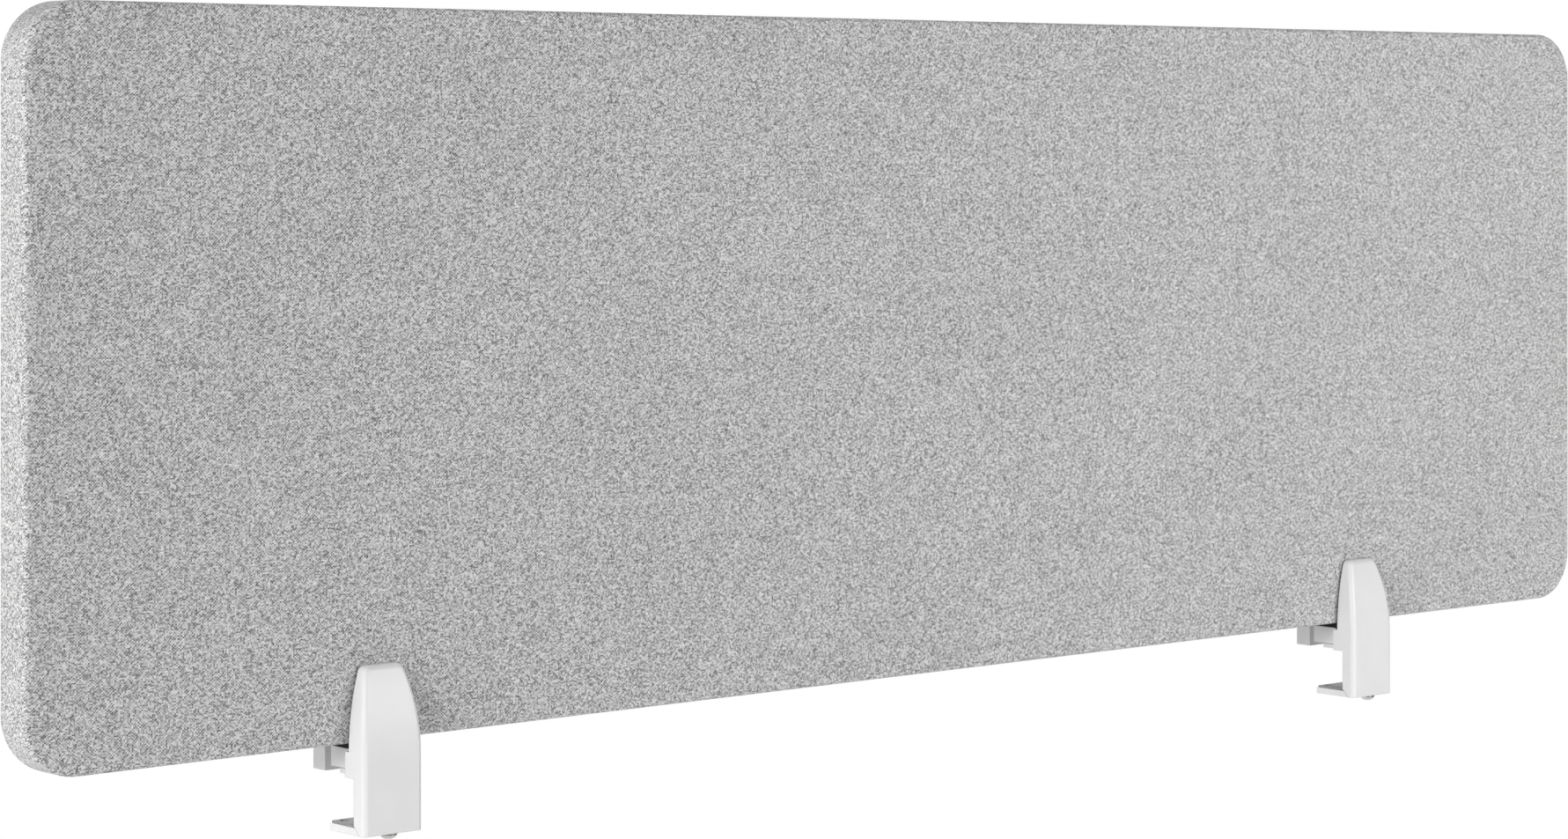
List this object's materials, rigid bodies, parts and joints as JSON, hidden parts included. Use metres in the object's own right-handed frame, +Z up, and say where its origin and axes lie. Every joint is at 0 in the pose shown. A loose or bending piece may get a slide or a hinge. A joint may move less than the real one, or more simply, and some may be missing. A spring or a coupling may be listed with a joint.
{
  "type": "desk privacy panel",
  "caption": "Padded cloth desk screen with rounded corners, held over the front edge of a desk by two white screw clamps.",
  "frame": {"origin": "midway along the panel, on the front upper edge of the desk top that it is clamped to", "axes": "+X along the panel, +Y from the panel's front to its rear (towards the desk top), +Z up"},
  "size_m": [1.25, 0.055, 0.4518],
  "materials": {
    "cloth": "light grey melange plain weave",
    "felt": "pressed polyester felt",
    "frame_wood": "planed softwood",
    "core": "sound-absorbing fibre filling",
    "cast_white": "white powder-coated die casting, satin",
    "rubber_black": "matt black rubber",
    "rubber_grey": "matt grey rubber",
    "nickel_steel": "bright nickel-plated steel",
    "zinc_steel": "zinc-plated steel",
    "spring_steel": "black spring steel"
  },
  "bodies": {
    "panel": {"cloth_front": "cloth", "cloth_rear": "cloth", "felt_front": "felt", "felt_rear": "felt", "frame_left_stile": "frame_wood", "frame_right_stile": "frame_wood", "frame_bottom_rail": "frame_wood", "frame_top_rail": "frame_wood", "frame_centre_stile": "frame_wood", "core_left": "core", "core_right": "core"},
    "left_clamp_body": {"left_bracket": "cast_white", "left_front_liner": "rubber_black", "left_jaw_nut": "zinc_steel"},
    "left_rear_jaw_body": {"left_rear_jaw": "cast_white", "left_rear_liner": "rubber_black", "left_clamp_washer_outer": "zinc_steel", "left_clamp_washer_inner": "zinc_steel"},
    "left_outer_screw_body": {"left_clamp_screw_outer": "nickel_steel"},
    "left_inner_screw_body": {"left_clamp_screw_inner": "nickel_steel"},
    "left_lower_jaw_body": {"left_lower_jaw": "cast_white", "left_foot_pad": "rubber_grey"},
    "left_jaw_screw_body": {"left_jaw_screw": "nickel_steel", "left_jaw_washer": "nickel_steel", "left_jaw_ring": "spring_steel"},
    "right_clamp_body": {"right_bracket": "cast_white", "right_front_liner": "rubber_black", "right_jaw_nut": "zinc_steel"},
    "right_rear_jaw_body": {"right_rear_jaw": "cast_white", "right_rear_liner": "rubber_black", "right_clamp_washer_outer": "zinc_steel", "right_clamp_washer_inner": "zinc_steel"},
    "right_outer_screw_body": {"right_clamp_screw_outer": "nickel_steel"},
    "right_inner_screw_body": {"right_clamp_screw_inner": "nickel_steel"},
    "right_lower_jaw_body": {"right_lower_jaw": "cast_white", "right_foot_pad": "rubber_grey"},
    "right_jaw_screw_body": {"right_jaw_screw": "nickel_steel", "right_jaw_washer": "nickel_steel", "right_jaw_ring": "spring_steel"}
  },
  "joints": [
    {"name": "left_bracket_slide", "type": "slide", "parent": "panel", "child": "left_clamp_body", "axis": [1, 0, 0], "range_m": [-0.15, 0.33]},
    {"name": "left_rear_jaw_slide", "type": "slide", "parent": "left_clamp_body", "child": "left_rear_jaw_body", "axis": [0, 1, 0], "range_m": [0, 0.006]},
    {"name": "left_outer_screw_turn", "type": "hinge", "parent": "left_rear_jaw_body", "child": "left_outer_screw_body", "pos_m": [-0.416, 0.0398, 0.0085], "axis": [0, 1, 0], "range_deg": [0, 2700]},
    {"name": "left_inner_screw_turn", "type": "hinge", "parent": "left_rear_jaw_body", "child": "left_inner_screw_body", "pos_m": [-0.398, 0.0398, 0.0085], "axis": [0, 1, 0], "range_deg": [0, 2700]},
    {"name": "left_lower_jaw_slide", "type": "slide", "parent": "left_clamp_body", "child": "left_lower_jaw_body", "axis": [0, 0, -1], "range_m": [0, 0.015]},
    {"name": "left_jaw_screw_turn", "type": "hinge", "parent": "left_lower_jaw_body", "child": "left_jaw_screw_body", "pos_m": [-0.407, -0.0047, -0.031], "axis": [0, 0, -1], "range_deg": [0, 6750]},
    {"name": "right_bracket_slide", "type": "slide", "parent": "panel", "child": "right_clamp_body", "axis": [1, 0, 0], "range_m": [-0.318, 0.162]},
    {"name": "right_rear_jaw_slide", "type": "slide", "parent": "right_clamp_body", "child": "right_rear_jaw_body", "axis": [0, 1, 0], "range_m": [0, 0.006]},
    {"name": "right_outer_screw_turn", "type": "hinge", "parent": "right_rear_jaw_body", "child": "right_outer_screw_body", "pos_m": [0.386, 0.0398, 0.0085], "axis": [0, 1, 0], "range_deg": [0, 2700]},
    {"name": "right_inner_screw_turn", "type": "hinge", "parent": "right_rear_jaw_body", "child": "right_inner_screw_body", "pos_m": [0.404, 0.0398, 0.0085], "axis": [0, 1, 0], "range_deg": [0, 2700]},
    {"name": "right_lower_jaw_slide", "type": "slide", "parent": "right_clamp_body", "child": "right_lower_jaw_body", "axis": [0, 0, -1], "range_m": [0, 0.015]},
    {"name": "right_jaw_screw_turn", "type": "hinge", "parent": "right_lower_jaw_body", "child": "right_jaw_screw_body", "pos_m": [0.395, -0.0047, -0.031], "axis": [0, 0, -1], "range_deg": [0, 6750]}
  ],
  "couplings": [
    {"joint": "left_outer_screw_turn", "follows": "left_rear_jaw_slide", "rad_per_m": 7854},
    {"joint": "left_inner_screw_turn", "follows": "left_rear_jaw_slide", "rad_per_m": 7854},
    {"joint": "left_jaw_screw_turn", "follows": "left_lower_jaw_slide", "rad_per_m": 7854},
    {"joint": "right_outer_screw_turn", "follows": "right_rear_jaw_slide", "rad_per_m": 7854},
    {"joint": "right_inner_screw_turn", "follows": "right_rear_jaw_slide", "rad_per_m": 7854},
    {"joint": "right_jaw_screw_turn", "follows": "right_lower_jaw_slide", "rad_per_m": 7854}
  ]
}
